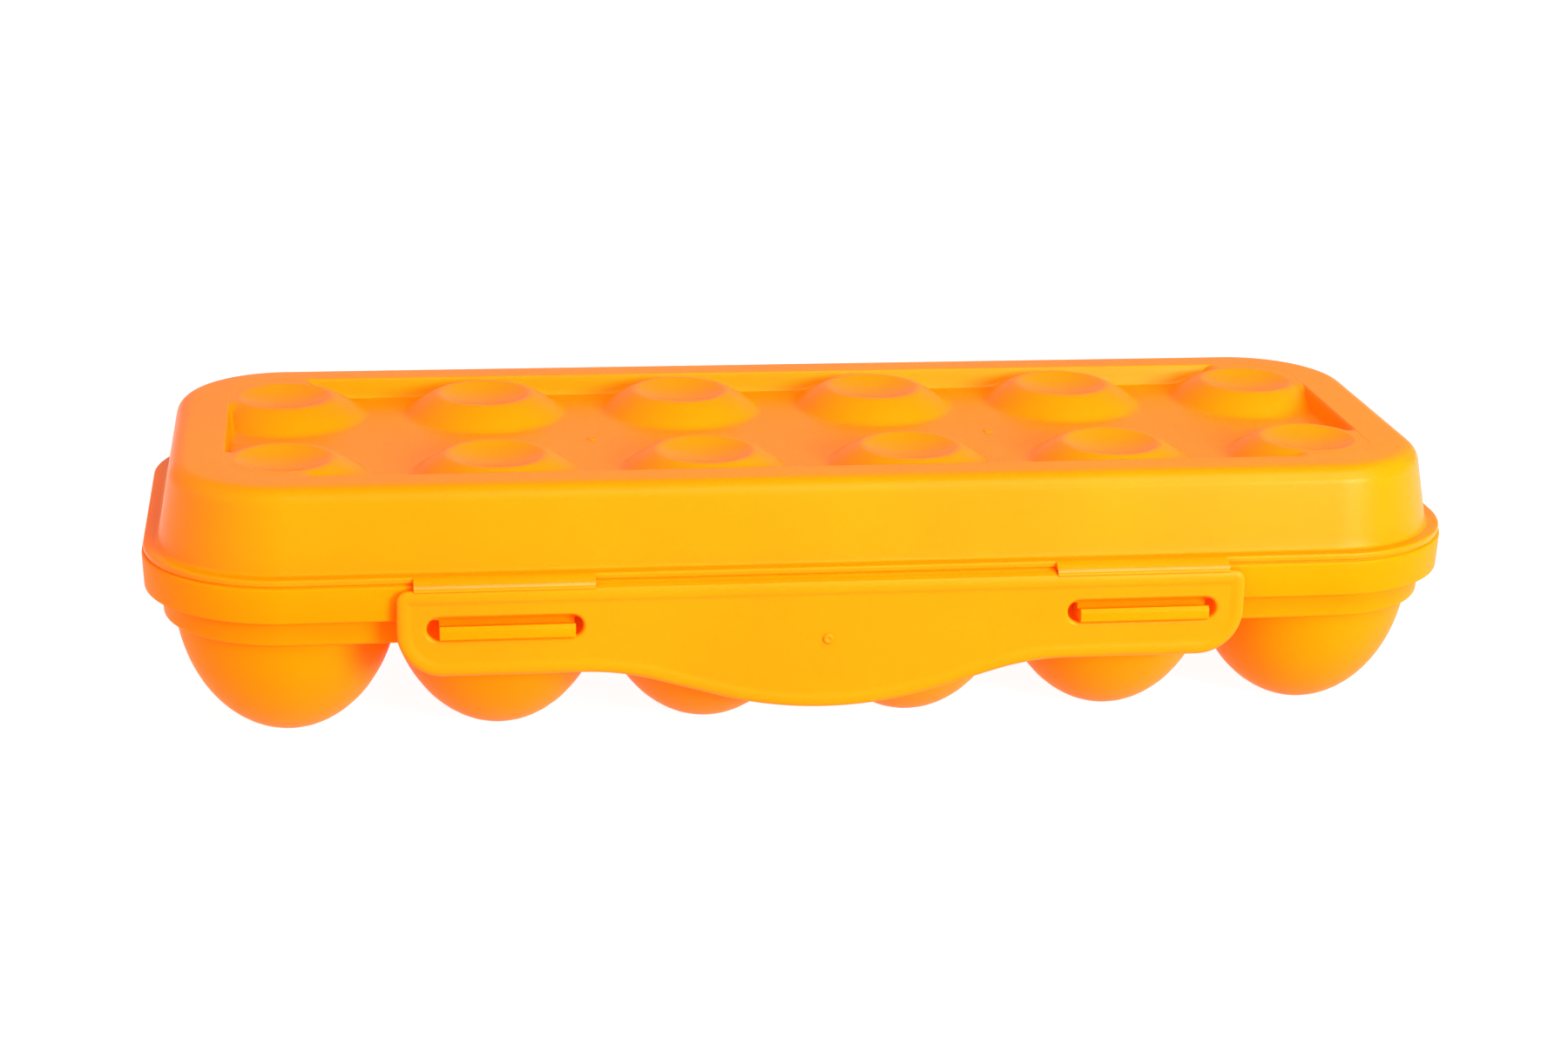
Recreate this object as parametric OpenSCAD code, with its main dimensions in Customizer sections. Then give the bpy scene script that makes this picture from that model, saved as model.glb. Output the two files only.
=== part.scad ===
// Egg keeper with a flip lid and a snap-down front flap, moulded in polypropylene.
// Millimetres. Z = 0 is the plane that the feet of the cups stand on, X runs along the
// two rows of cups, and the front with its flap faces -Y.

/* [Eggs] */
// Egg cups in each of the two rows
columns = 6; // [5:1:8]
// Distance between the cups of a row
column_pitch = 49; // [48:0.5:54]
// Distance between the two rows
row_pitch = 52.4; // [52:0.2:58]

/* [Base tray] */
// From the axes of the outer cups to the outside of the rim
rim_margin = 32.9; // [32:0.1:36]
// Height of the rim's top edge
rim_top = 44.7; // [42:0.1:50]
// Height of the rim's outer band
rim_height = 8.4; // [6:0.1:10]
// Height of the stepped band under the rim
band_height = 6.8; // [5:0.1:8]
// How far the stepped band lies inside the rim
band_inset = 4.1; // [3.5:0.1:5]
// Wall of the rim and the bands
wall = 1.4; // [1.2:0.1:1.8]
// Plate that joins the mouths of the cups
deck_thickness = 1.4; // [1.2:0.1:2]
// Radius of the oval that the outside of a cup follows
cup_radius = 26.1; // [25:0.1:26.5]
// Height of the oval's widest level
cup_depth = 34.1; // [33:0.1:38]
// Flat foot of a cup
foot_radius = 3.2; // [2:0.1:5]
// Floor of a cup
cup_floor = 1.3; // [1:0.1:2]
// Wall left between the mouths of neighbouring cups
cup_web = 1; // [0.8:0.1:1.6]

/* [Lid] */
// Height of the lid above its seat on the rim
lid_height = 20.4; // [18:0.1:26]
// Thickness of the lid
lid_wall = 1.4; // [1.2:0.1:1.8]
// Thickness of the flange round the lid
flange_thickness = 1.5; // [1.2:0.1:2]
// How far the flange stands out from the foot of the lid's wall
flange_width = 3.2; // [2.5:0.1:4]
// Slope of the lid's wall from upright
lid_draft = 10.9; // [6:0.1:12]
// Rounding where the wall meets the top
top_radius = 4.5; // [3:0.1:6]
// Depth of the panel sunk into the top
recess_depth = 4.8; // [3.5:0.1:6]
// From the axes of the end cups to the panel's ends
recess_end = 13.5; // [12.5:0.1:15]
// From the axes of the cups to the panel's long sides
recess_side = 15.1; // [13:0.1:16]
// Rim of the round dish on top of each boss
dish_radius = 11.9; // [10:0.1:12.2]
// Depth of that dish
dish_depth = 2.3; // [1.5:0.1:3]
// Radius of the sphere that the flanks of a boss follow
boss_sphere = 30; // [27:1:40]

/* [Front flap] */
// Length of the flap
flap_length = 196; // [180:1:210]
// Thickness of the flap
flap_thickness = 1.6; // [1.4:0.1:2]
// Height of the flap at its wings
flap_height = 20.4; // [18:0.1:24]
// Curve of the tab's lower edge
tab_radius = 90; // [70:1:110]
// Curve that leads from a wing to the tab
wing_radius = 60; // [45:1:70]
// Straight stretch between these two curves
tab_run = 15; // [8:1:20]
// Length of a latch slot
slot_length = 35.2; // [30:0.1:40]
// Height of a latch slot
slot_height = 5.2; // [4.6:0.1:6]
// From each end of the flap to the middle of its latch slot
slot_inset = 24.3; // [23:0.1:28]

/* [Hinges] */
// Length of each rear hinge clip
clip_length = 24; // [16:1:30]
// Radius of the rear hinge pins
pin_radius = 1.1; // [0.9:0.05:1.4]
// Wall of the clip round a pin
clip_wall = 0.95; // [0.8:0.05:1.2]
// Length of each film hinge on the front edge
film_length = 40.8; // [36:0.1:44]

/* [Clearances] */
// Gap between the lid's flange and the rim
seat_gap = 0.4; // [0.3:0.05:0.6]
// Gap between the lid's lip and the inside of the rim
lip_gap = 0.4; // [0.3:0.05:0.6]
// Gap between a hinge pin and its clip, on the radius
pin_gap = 0.05; // [0.03:0.01:0.1]
// Gap between a catch bar and the edge of its slot
catch_gap = 0.35; // [0.3:0.05:0.6]
// Gap between the flap and the rim behind it
flap_gap = 1.1; // [0.8:0.1:1.5]

/* [Hidden] */
$fn = 72;
orange = [1, 0.6, 0.1];
light_orange = [1, 0.66, 0.16];
past = 1;                 // how far a cutting shape runs past what it cuts
steps = 6;                // straight pieces in a rounded edge

// Axes of the corner cups
cup_x = (columns - 1) * column_pitch / 2;
cup_y = row_pitch / 2;

// Base tray
rim_bottom = rim_top - rim_height;
deck_bottom = rim_bottom - band_height;
deck_top = deck_bottom + deck_thickness;
band_margin = rim_margin - band_inset;
rim_taper = 0.3;
rim_round = 0.7;
band_taper = 0.4;
band_round = 1.3;
mouth_radius = (column_pitch - cup_web) / 2;
cup_steps = 16;

// Lid
lid_seat = rim_top + seat_gap;
lid_top = lid_seat + lid_height;
flange_margin = rim_margin - 0.4;
flange_top = lid_seat + flange_thickness;
foot_margin = flange_margin - flange_width;
foot_cove = 0.8;
flange_round = 0.5;
recess_floor = lid_top - recess_depth;
recess_corner = 12;
recess_draft = 12;
recess_round = 1;
boss_lip = 0.7;
lip_thickness = 1.2;
lip_depth = 2.4;
gate_radius = 1.1;
gate_height = 0.3;

// Front flap, seen from the front: x along the flap and z up
flap_back = -(cup_y + rim_margin + flap_gap);
flap_front = flap_back - flap_thickness;
film_radius = 0.45;
film_gap = 0.2;
film_y = flap_back - flap_thickness / 2;
film_z = lid_seat - 0.35;
flap_top = film_z - film_radius - film_gap;
flap_bottom = flap_top - flap_height;
flap_end = flap_length / 2;
top_corner = 2.6;
low_corner = 12;
edge_width = 2.3;
edge_drop = 0.8;
gate_rise = 6.6;
gate_z = flap_bottom + gate_rise;
// The tab's straight stretches slope as 7 to 24, so the curves meet them at short decimals
slope_cos = 0.96;
slope_sin = 0.28;
wing_z = flap_bottom - wing_radius * (1 - slope_cos);
tab_z = wing_z - tab_run * slope_sin;
tab_low = tab_z - tab_radius * (1 - slope_cos);
tab_x = tab_radius * slope_sin;
wing_x = tab_x + tab_run * slope_cos;
wing_centre = wing_x + wing_radius * slope_sin;

// Latch: a catch bar of the tray in each slot of the flap
slot_place = flap_end - slot_inset;
slot_rise = 11.3;
slot_z = flap_bottom + slot_rise;
slot_flare = 0.9;
bar_length = slot_length - 4.6;
bar_height = 3.1;
bar_bottom = slot_z - slot_height / 2 + catch_gap;
bar_reach = 0.6;
bar_front = flap_front - bar_reach;
bar_round = 0.6;

// Rear hinge: a pin of the tray in each clip of the lid
clip_radius = pin_radius + pin_gap + clip_wall;
hinge_gap = 0.3;
hinge_y = cup_y + rim_margin + hinge_gap + clip_radius;
hinge_z = lid_seat - 0.2;
cheek_width = 2.4;
cheek_gap = 0.3;
cheek_foot = 5;
clip_mouth = 1.5 * pin_radius;

// The origin lies midway between the catch bars and the hinge
middle_y = -(hinge_y + clip_radius + bar_front) / 2;

// Points of an arc round [x, z], from one angle to another
function arc(x, z, r, from, to, n = steps) =
    [for (i = [0:n]) let (a = from + (to - from) * i / n) [x + r * cos(a), z + r * sin(a)]];

// A size to the nearest thousandth, so that neighbouring shapes meet exactly
function near(size) = round(1000 * size) / 1000;

// Level of an oval cup at a radius, and its radius at a level
function oval_r(a, c, z) = a * sqrt(max(0, 1 - pow((cup_depth - z) / c, 2)));
function oval_z(a, c, r) = cup_depth - c * sqrt(1 - pow(r / a, 2));

// Sweeps a profile of [margin, z] points round the rectangle that reaches x and y from the middle
module sweep(x, y, profile) {
    for (side = [0:3]) {
        sx = side == 0 || side == 3 ? 1 : -1;
        sy = side < 2 ? 1 : -1;
        translate([sx * x, sy * y, 0]) rotate([0, 0, 90 * side])
            rotate_extrude(angle = 90) polygon(profile);
        length = side % 2 == 0 ? 2 * y : 2 * x;
        if (length > 0) rotate([0, 0, 90 * side])
            translate([side % 2 == 0 ? x : y, length / 2, 0]) rotate([90, 0, 0])
                linear_extrude(length) polygon(profile);
    }
}

// The same with its middle filled, for a profile that starts at margin 0
module block(x, y, profile, bottom, top) {
    sweep(x, y, profile);
    translate([-x, -y, bottom]) cube([2 * x, 2 * y, top - bottom]);
}

module at_cups() {
    for (column = [0:columns - 1], row = [-1, 1])
        translate([column * column_pitch - cup_x, row * cup_y, 0]) children();
}

module at_both_ends(x) {
    for (side = [-1, 1]) translate([side * x, 0, 0]) children();
}

module cup_outside() {
    foot_z = oval_z(cup_radius, cup_depth, foot_radius);
    levels = [for (i = [0:cup_steps]) deck_top * pow(i / cup_steps, 1.6)];
    rotate_extrude() polygon(concat(
        [[0, 0], [foot_radius, 0]],
        [for (z = levels) if (z > 2 * foot_z) [oval_r(cup_radius, cup_depth, z), z]],
        [[0, deck_top]]));
}

module cup_inside() {
    inner_c = cup_depth - cup_floor;
    rise = deck_top - cup_floor;
    levels = [for (i = [1:cup_steps]) cup_floor + rise * pow(i / cup_steps, 1.7)];
    rotate_extrude() polygon(concat(
        [[0, cup_floor]],
        [for (z = levels) [oval_r(mouth_radius, inner_c, z), z]],
        [[mouth_radius, deck_top + past], [0, deck_top + past]]));
}

// Outside of the rim and of the stepped band under it
function tray_outside() = concat(
    [[0, deck_bottom]],
    arc(band_margin - band_taper - band_round, deck_bottom + band_round, band_round, -90, 0),
    [[band_margin, rim_bottom]],
    arc(rim_margin - rim_taper - rim_round, rim_bottom + rim_round, rim_round, -90, 0),
    arc(rim_margin - rim_round, rim_top - rim_round, rim_round, 0, 90),
    [[0, rim_top]]);

function tray_inside() = [
    [0, deck_top],
    [band_margin - band_taper - wall, deck_top],
    [band_margin - wall, rim_bottom + wall],
    [rim_margin - rim_taper - wall, rim_bottom + wall],
    [rim_margin - wall, rim_top + past],
    [0, rim_top + past]];

// The bar that the slot of the flap snaps over
module catch_bar() {
    root = -(cup_y + band_margin - wall / 2);
    bar_top = bar_bottom + bar_height;
    section = concat(
        [[root, bar_bottom], [bar_front + bar_round / 2, bar_bottom],
         [bar_front, bar_bottom + bar_round / 2], [bar_front, bar_top - 1.6 * bar_round],
         [bar_front + bar_round, bar_top], [root, bar_top]]);
    translate([-bar_length / 2, 0, 0]) rotate([90, 0, 90])
        linear_extrude(bar_length) polygon(section);
    neck = cup_y + rim_margin - rim_round;
    translate([-bar_length / 2, -neck, bar_top - past])
        cube([bar_length, neck + root + past, rim_bottom + wall / 2 - bar_top + past]);
}

// Two cheeks on the rim with the hinge pin between them
module hinge_pin() {
    span = clip_length + 2 * cheek_gap;
    along_x() cylinder(h = span + 2 * cheek_width, r = pin_radius, center = true);
    at_both_ends((span + cheek_width) / 2) {
        along_x() cylinder(h = cheek_width, r = clip_radius, center = true);
        translate([0, hinge_y, hinge_z]) rotate([90, 0, 90])
            linear_extrude(cheek_width, center = true) polygon([
                [clip_radius, 0], [clip_radius * 0.7, -clip_radius * 0.7],
                [-clip_radius - hinge_gap, -cheek_foot],
                [-clip_radius - hinge_gap - wall / 2, -cheek_foot],
                [-clip_radius - hinge_gap - wall / 2, 0]]);
    }
}

module along_x() {
    translate([0, hinge_y, hinge_z]) rotate([0, 90, 0]) children();
}

module base_tray() color(orange) translate([0, middle_y, 0]) {
    difference() {
        union() {
            block(cup_x, cup_y, tray_outside(), deck_bottom, rim_top);
            at_cups() cup_outside();
        }
        block(cup_x, cup_y, tray_inside(), deck_top, rim_top + past);
        at_cups() cup_inside();
    }
    at_both_ends(slot_place) {
        catch_bar();
        hinge_pin();
    }
}

// Margin of the lid's wall at a level, and the centre of its top rounding
function wall_margin(z) = foot_margin - (z - flange_top) * tan(lid_draft);
round_z = lid_top - top_radius;
round_margin = wall_margin(round_z + top_radius * sin(lid_draft)) - top_radius * cos(lid_draft);

function lid_outside() = concat(
    [[0, lid_seat]],
    arc(flange_margin - flange_round, lid_seat + flange_round, flange_round, -90, 0),
    arc(flange_margin - flange_round, flange_top - flange_round, flange_round, 0, 90),
    arc(foot_margin + foot_cove, flange_top + foot_cove, foot_cove, 270, 180 + lid_draft),
    arc(round_margin, round_z, top_radius, lid_draft, 90, 2 * steps),
    [[0, lid_top]]);

function lid_inside() = concat(
    [[0, lid_seat - past], [wall_margin(flange_top) - lid_wall, lid_seat - past],
     [wall_margin(flange_top) - lid_wall, flange_top]],
    arc(round_margin, round_z, top_radius - lid_wall, lid_draft, 90),
    [[0, lid_top - lid_wall]]);

// The sunk panel: its space, or with grow > 0 the block that walls it
function recess(grow) = let (
        corner = recess_corner + grow,
        slope = recess_depth * tan(recess_draft),
        low = recess_floor - grow)
    concat(
        [[0, low], [corner - slope, low]],
        grow > 0 ? [[corner, lid_top]] : arc(corner + recess_round * 0.8,
            lid_top - recess_round, recess_round, 180 - recess_draft, 90),
        grow > 0 ? [[0, lid_top]] : [[corner + recess_round, lid_top + past], [0, lid_top + past]]);

module recess_block(grow) {
    x = cup_x + recess_end - recess_corner;
    y = cup_y + recess_side - recess_corner;
    block(x, y, recess(grow), recess_floor - grow, grow > 0 ? lid_top : lid_top + past);
}

// Round boss with domed flanks and a dish on top; sunk > 0 gives the hollow under it
module boss(sunk) {
    centre = lid_top - boss_lip / 4 - sqrt(pow(boss_sphere, 2) - pow(dish_radius, 2));
    flank = boss_sphere - sunk;
    low = recess_floor - lid_wall / 2 - sunk;
    low_r = sqrt(pow(flank, 2) - pow(low - centre, 2));
    top_a = asin(dish_radius / flank);
    low_a = asin(low_r / flank);
    bowl = (pow(dish_radius, 2) + pow(dish_depth, 2)) / (2 * dish_depth);
    bowl_a = asin((dish_radius - boss_lip) / bowl);
    rotate_extrude() polygon(concat(
        [[0, low]],
        [for (i = [0:2 * steps]) let (a = low_a + (top_a - low_a) * i / (2 * steps))
            [flank * sin(a), centre + flank * cos(a)]],
        sunk > 0 ? [[dish_radius - lid_wall, lid_top - dish_depth / 2 - sunk]]
                 : [[dish_radius - 0.4 * boss_lip, lid_top]],
        [for (i = [0:steps]) let (a = bowl_a * (1 - i / steps))
            [bowl * sin(a), lid_top - dish_depth - sunk + bowl * (1 - cos(a))]]));
}

// Lip under the flange that drops inside the rim
function lip_section() = let (
        out = rim_margin - rim_taper - wall - lip_gap,
        low = lid_seat - lip_depth)
    [[out - lip_thickness, lid_seat + past / 2], [out - lip_thickness, low],
     [out - 0.3, low], [out, low + 0.6], [out, lid_seat + past / 2]];

// Thickened stretch of the flange that carries a film hinge
module film_land() {
    flange_y = -(cup_y + flange_margin);
    translate([-film_length / 2, 0, 0]) rotate([90, 0, 90]) linear_extrude(film_length) polygon([
        [flange_y + 1.5, lid_seat], [flange_y + 1.5, flange_top], [flange_y + 0.4, flange_top],
        [film_y + 0.7, film_z + 1], [film_y + 0.5, film_z + 0.6],
        [film_y + 0.5, film_z], [flange_y - 0.7, film_z], [flange_y - 0.7, lid_seat]]);
}

// Clip that snaps over the pin from above, on an arm from the flange
module hinge_clip() {
    arm = hinge_y - cup_y - flange_margin + 1.5;
    difference() {
        union() {
            along_x() cylinder(h = clip_length, r = clip_radius, center = true);
            translate([-clip_length / 2, hinge_y - arm, lid_seat])
                cube([clip_length, arm, flange_thickness]);
        }
        along_x() cylinder(h = clip_length + 2 * past, r = pin_radius + pin_gap, center = true);
        translate([0, hinge_y, hinge_z]) rotate([20, 0, 0])
            translate([-clip_length / 2 - past, -clip_mouth / 2, -2 * clip_radius])
                cube([clip_length + 2 * past, clip_mouth, 2 * clip_radius]);
    }
}

module lid_shell() color(light_orange) translate([0, middle_y, 0]) {
    difference() {
        union() {
            difference() {
                block(cup_x, cup_y, lid_outside(), lid_seat, lid_top);
                recess_block(0);
            }
            at_cups() boss(0);
        }
        difference() {
            block(cup_x, cup_y, lid_inside(), lid_seat - past, lid_top - lid_wall);
            recess_block(lid_wall);
        }
        at_cups() boss(lid_wall);
    }
    sweep(cup_x, cup_y, lip_section());
    at_both_ends(slot_place) {
        film_land();
        hinge_clip();
    }
    at_both_ends(column_pitch) translate([0, 0, recess_floor - gate_height])
        cylinder(h = 2 * gate_height, r = gate_radius);
}

// Thin web that bends: it hangs from the land and ends in a round bead on the bending line
module film_hinge(side) color(light_orange) translate([side * slot_place, middle_y, 0]) {
    translate([0, film_y, film_z]) rotate([0, 90, 0])
        cylinder(h = film_length, r = film_radius, center = true);
    translate([-film_length / 2, film_y, film_z])
        cube([film_length, 0.5, film_radius]);
}

module film_hinge_left() film_hinge(-1);
module film_hinge_right() film_hinge(1);

// Outline of the flap, of straight lines and arcs that run smoothly into each other
module flap_outline() {
    low = flap_bottom;
    high = flap_top;
    translate([-flap_end, low + low_corner])
        square([flap_length, high - low - low_corner - top_corner]);
    translate([-flap_end + low_corner, low]) square([flap_length - 2 * low_corner, low_corner]);
    translate([-flap_end + top_corner, high - top_corner])
        square([flap_length - 2 * top_corner, top_corner]);
    for (side = [-1, 1]) {
        intersection() {
            translate([side * (flap_end - low_corner), low + low_corner]) circle(r = low_corner);
            translate([-flap_end, low]) square([flap_length, low_corner]);
        }
        translate([side * (flap_end - top_corner), high - top_corner]) circle(r = top_corner);
    }
    difference() {
        polygon([[-wing_centre, low + past], [-wing_centre, low], [-wing_x, wing_z],
            [-tab_x, tab_z], [tab_x, tab_z], [wing_x, wing_z], [wing_centre, low],
            [wing_centre, low + past]]);
        for (side = [-1, 1]) translate([side * wing_centre, low - wing_radius])
            circle(r = wing_radius);
    }
    intersection() {
        translate([0, tab_low + tab_radius]) circle(r = tab_radius);
        translate([-tab_x, tab_low - past]) square([2 * tab_x, tab_z - tab_low + 2 * past]);
    }
}

// What the soft front edge leaves out, as [distance inwards, height] points; turn = -1 mirrors it
function edge_cut(at, turn) = concat(
    [[at - turn * past, flap_thickness + past], [at - turn * past, flap_thickness - edge_drop]],
    [for (i = [0:steps]) let (a = 90 * i / steps)
        [at + turn * near(edge_width * (1 - cos(a))),
         flap_thickness - near(edge_drop * (1 - sin(a)))]],
    [[at + turn * edge_width, flap_thickness + past]]);

// Soft edge along a straight stretch from one point to another, with the flap on its left
module straight_edge(from, to) {
    run = to - from;
    translate([from[0], from[1], 0]) rotate([0, 0, atan2(run[1], run[0])])
        rotate([90, 0, 90]) linear_extrude(norm(run)) polygon(edge_cut(0, 1));
}

// Soft edge along a quarter circle that starts at an angle
module corner_edge(centre, r, from) {
    translate([centre[0], centre[1], 0]) rotate([0, 0, from])
        rotate_extrude(angle = 90) polygon(edge_cut(r, -1));
}

// Soft edge along a shallow arc between two directions; turn is -1 where the flap lies inside it
module curved_edge(centre, r, ends, turn) {
    reach = r + 10;
    translate([centre[0], centre[1], 0]) intersection() {
        rotate_extrude($fn = 4 * $fn) polygon(edge_cut(r, turn));
        translate([0, 0, -past]) linear_extrude(flap_thickness + 3 * past)
            polygon([[0, 0], reach * ends[0], reach * ends[1]]);
    }
}

module right_edges() {
    low = flap_bottom;
    straight_edge([flap_end, low + low_corner], [flap_end, flap_top - top_corner]);
    straight_edge([wing_centre, low], [flap_end - low_corner, low]);
    straight_edge([tab_x, tab_z], [wing_x, wing_z]);
    corner_edge([flap_end - top_corner, flap_top - top_corner], top_corner, 0);
    corner_edge([flap_end - low_corner, low + low_corner], low_corner, 270);
    curved_edge([wing_centre, low - wing_radius], wing_radius,
        [[0, 1], [-slope_sin, slope_cos]], 1);
}

module slot_cutter() {
    half = slot_height / 2;
    straight = slot_length / 2 - half;
    profile = concat(
        [[0, -past], [half, -past]],
        [for (i = [0:steps]) let (a = 90 * i / steps)
            [near(half + slot_flare * (1 - cos(a))),
             near(flap_thickness - slot_flare * (1 - sin(a)))]],
        [[half + slot_flare, flap_thickness + past], [0, flap_thickness + past]]);
    sweep(straight, 0, profile);
}

module front_flap() color(orange) translate([0, middle_y + flap_back, 0]) rotate([90, 0, 0]) {
    difference() {
        linear_extrude(flap_thickness) flap_outline();
        straight_edge([flap_end - top_corner, flap_top], [-flap_end + top_corner, flap_top]);
        right_edges();
        mirror([1, 0, 0]) right_edges();
        curved_edge([0, tab_low + tab_radius], tab_radius,
            [[-slope_sin, -slope_cos], [slope_sin, -slope_cos]], -1);
        for (side = [-1, 1]) translate([side * slot_place, slot_z, 0]) slot_cutter();
    }
    translate([0, gate_z, flap_thickness - gate_height])
        cylinder(h = gate_height + 0.15, r = gate_radius);
}

base_tray();
lid_shell();
film_hinge_left();
film_hinge_right();
front_flap();
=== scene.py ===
# Egg keeper: a long tray of moulded cups, a flip lid with dished bosses and a snap-down
# front flap, all of orange polypropylene. Sizes are in millimetres until a mesh is made.
import math
import bmesh
import bpy
import numpy as np
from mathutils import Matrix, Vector


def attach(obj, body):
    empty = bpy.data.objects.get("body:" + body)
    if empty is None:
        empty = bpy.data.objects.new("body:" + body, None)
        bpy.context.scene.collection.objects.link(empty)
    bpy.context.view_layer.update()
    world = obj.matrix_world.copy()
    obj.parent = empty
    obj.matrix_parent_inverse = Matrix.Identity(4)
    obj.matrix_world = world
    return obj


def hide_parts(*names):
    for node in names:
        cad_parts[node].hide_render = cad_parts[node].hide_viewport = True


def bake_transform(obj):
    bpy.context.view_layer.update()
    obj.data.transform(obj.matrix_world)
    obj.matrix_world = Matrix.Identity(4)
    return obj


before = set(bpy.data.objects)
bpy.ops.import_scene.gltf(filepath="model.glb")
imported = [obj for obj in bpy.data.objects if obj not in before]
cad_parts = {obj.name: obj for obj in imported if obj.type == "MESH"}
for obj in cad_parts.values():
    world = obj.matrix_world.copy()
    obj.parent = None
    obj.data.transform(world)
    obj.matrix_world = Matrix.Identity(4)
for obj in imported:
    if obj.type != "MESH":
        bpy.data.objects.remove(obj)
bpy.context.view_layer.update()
print("frame loaded:", ", ".join(sorted(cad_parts)))

mm = 0.001
keeper = {
    "pitch": 49.0,       # between the cups of a row
    "endAxis": 122.5,    # axis of an end cup, from the middle
    "rowAxis": 26.2,     # axis of a row, from the midline
    "shiftY": -0.6,      # the midline in the frame
    "turnPieces": 22,    # straight pieces in a quarter turn of the walls
    "weld": 0.003,       # points of two sheets nearer than this are one
}
wallCorner = (keeper["endAxis"], keeper["rowAxis"])
bothSides = ((-1, "left"), (1, "right"))


# Curves and blends, in plan and in section

def arc(x, z, radius, start, end, pieces):
    angle = np.radians(np.linspace(start, end, pieces + 1))
    return np.column_stack([x + radius * np.cos(angle), z + radius * np.sin(angle)])


def softMin(a, b, blend):
    near = np.maximum(blend - np.abs(a - b), 0)
    return np.minimum(a, b) - near * near / (4 * blend)


def softMax(a, b, blend):
    return -softMin(-a, -b, blend)


def easeIn(value, start, end):
    t = np.clip((value - start) / (end - start), 0, 1)
    return t * t * (3 - 2 * t)


def cross(a, b):
    return a[0] * b[1] - a[1] * b[0]


def seenEvenly(axis, start, end, count):
    # Points from start to just before end, at equal angles seen from the axis of a cup
    a, b = np.subtract(start, axis), np.subtract(end, axis)
    turn = math.atan2(cross(a, b), a @ b)
    points = []
    for i in range(count):
        c, s = math.cos(turn * i / count), math.sin(turn * i / count)
        way = np.array([c * a[0] - s * a[1], s * a[0] + c * a[1]])
        points.append(axis + way * cross(a, b - a) / cross(way, b - a))
    return np.array(points)


def wallPath(corner, reach, counts):
    # The way round a quarter of a wall, from the middle of the front to the middle of the end.
    # Each row scales the corner's axis and then the reach from it, so one path fits every margin
    wallY, endX = corner[1] + reach[1], corner[0] + reach[0]
    pitch, rows = keeper["pitch"], []
    for cell in range(3):
        left, right = cell * pitch, min((cell + 1) * pitch, corner[0])
        axis = ((cell + 0.5) * pitch, keeper["rowAxis"])
        xs = seenEvenly(axis, (left, wallY), (right, wallY), counts["front"][cell])[:, 0]
        rows += [(x / corner[0], 1, 0, 1) for x in xs]
    for angle in np.radians(np.linspace(90, 0, keeper["turnPieces"] + 1)[:-1]):
        rows.append((1, 1, math.cos(angle), math.sin(angle)))
    ys = seenEvenly(axis, (endX, corner[1]), (endX, 0), counts["end"])[:, 1]
    rows += [(1, y / corner[1], 1, 0) for y in ys] + [(1, 0, 1, 0)]
    return np.array(rows)


def along(path, corner, reach):
    return path[:, :2] * corner + path[:, 2:] * reach


def wallRings(path, section):
    # The path laid round the wall at each (margin, level) of a section
    return [np.column_stack([along(path, wallCorner, (margin, margin)), np.full(len(path), z)])
            for margin, z in section]


def cellOutlines(path, corner, reach, counts):
    # Closed outlines of the three cells of a quarter, with the axis of each
    wall, pitch, first, cells = along(path, corner, reach), keeper["pitch"], 0, []
    wallY = corner[1] + reach[1]
    for cell in range(3):
        left, right = cell * pitch, (cell + 1) * pitch
        axis = np.array([(cell + 0.5) * pitch, keeper["rowAxis"]])
        if cell < 2:
            last = first + counts["front"][cell]
            parts = [wall[first:last]]
            parts.append(seenEvenly(axis, (right, wallY), (right, 0), counts["side"]))
        else:
            right = corner[0] + reach[0]
            parts = [wall[first:-1]]
        parts.append(seenEvenly(axis, (right, 0), (left, 0), counts["mid"][cell]))
        parts.append(seenEvenly(axis, (left, 0), (left, wallY), counts["side"]))
        cells.append((axis, np.vstack(parts)))
        first = last
    return cells


# Sheets of quads, from which the mouldings are sewn

def newSheet():
    return {"points": [], "faces": [], "count": 0}


def addGrid(sheet, grid, closed=False):
    rows, columns = grid.shape[:2]
    index = sheet["count"] + np.arange(rows * columns).reshape(rows, columns)
    if closed:
        index = np.hstack([index, index[:, :1]])
    quads = [index[:-1, :-1], index[:-1, 1:], index[1:, 1:], index[1:, :-1]]
    sheet["points"].append(grid.reshape(-1, 3))
    sheet["faces"].append(np.stack(quads, axis=-1).reshape(-1, 4))
    sheet["count"] += rows * columns


def sewn(sheet):
    return np.vstack(sheet["points"]), np.vstack(sheet["faces"])


def mirrorFourWays(sheet):
    points, faces = sewn(sheet)
    signs = ((1, 1, 1), (-1, 1, 1), (1, -1, 1), (-1, -1, 1))
    return (np.vstack([points * sign for sign in signs]),
            np.vstack([faces + i * len(points) for i in range(4)]))


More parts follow.
